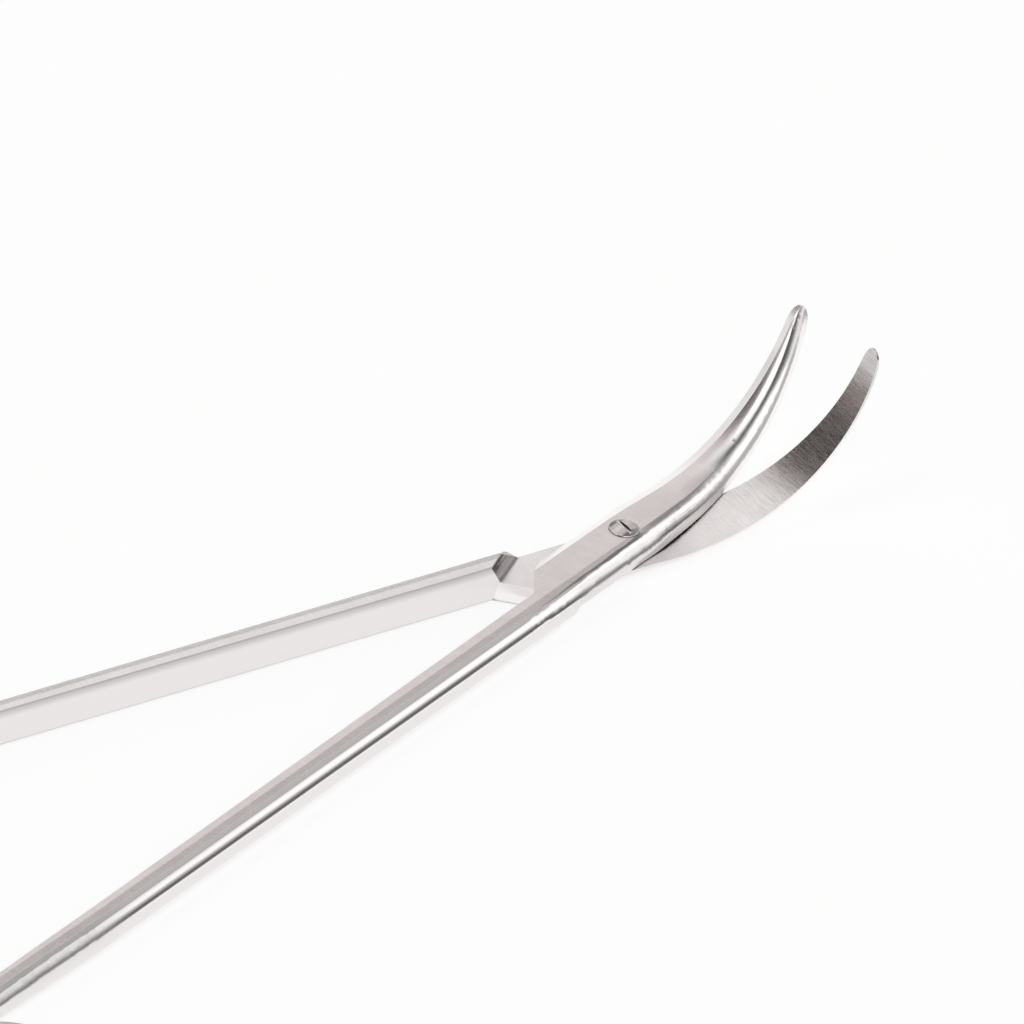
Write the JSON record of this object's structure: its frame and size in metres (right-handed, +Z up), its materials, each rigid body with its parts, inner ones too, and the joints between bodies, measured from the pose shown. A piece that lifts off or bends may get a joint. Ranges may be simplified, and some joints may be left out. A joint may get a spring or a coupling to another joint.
{
  "type": "dissecting scissors",
  "caption": "Long-shanked dissecting scissors with blunt blades curved up on the flat, a slotted joint screw in a box joint and oval finger rings.",
  "frame": {"origin": "on the pivot axis, on the underside that the scissors lie on", "axes": "+Z up along the joint screw, +X midway between the blades towards the tips, +Y to the left where the upper half's blade lies"},
  "size_m": [0.2247, 0.1216, 0.0248],
  "materials": {
    "satin_steel": "satin ground flats with polished round edges",
    "screw_steel": "polished"
  },
  "bodies": {
    "lower_body": {"lower_half": "satin_steel", "joint_screw": "screw_steel"},
    "upper_body": {"upper_half": "satin_steel"}
  },
  "joints": [
    {"name": "blade_pivot", "type": "hinge", "parent": "lower_body", "child": "upper_body", "pos_m": [0, 0, 0.00295], "axis": [0, 0, 1], "range_deg": [-19.9, 70.1]}
  ]
}
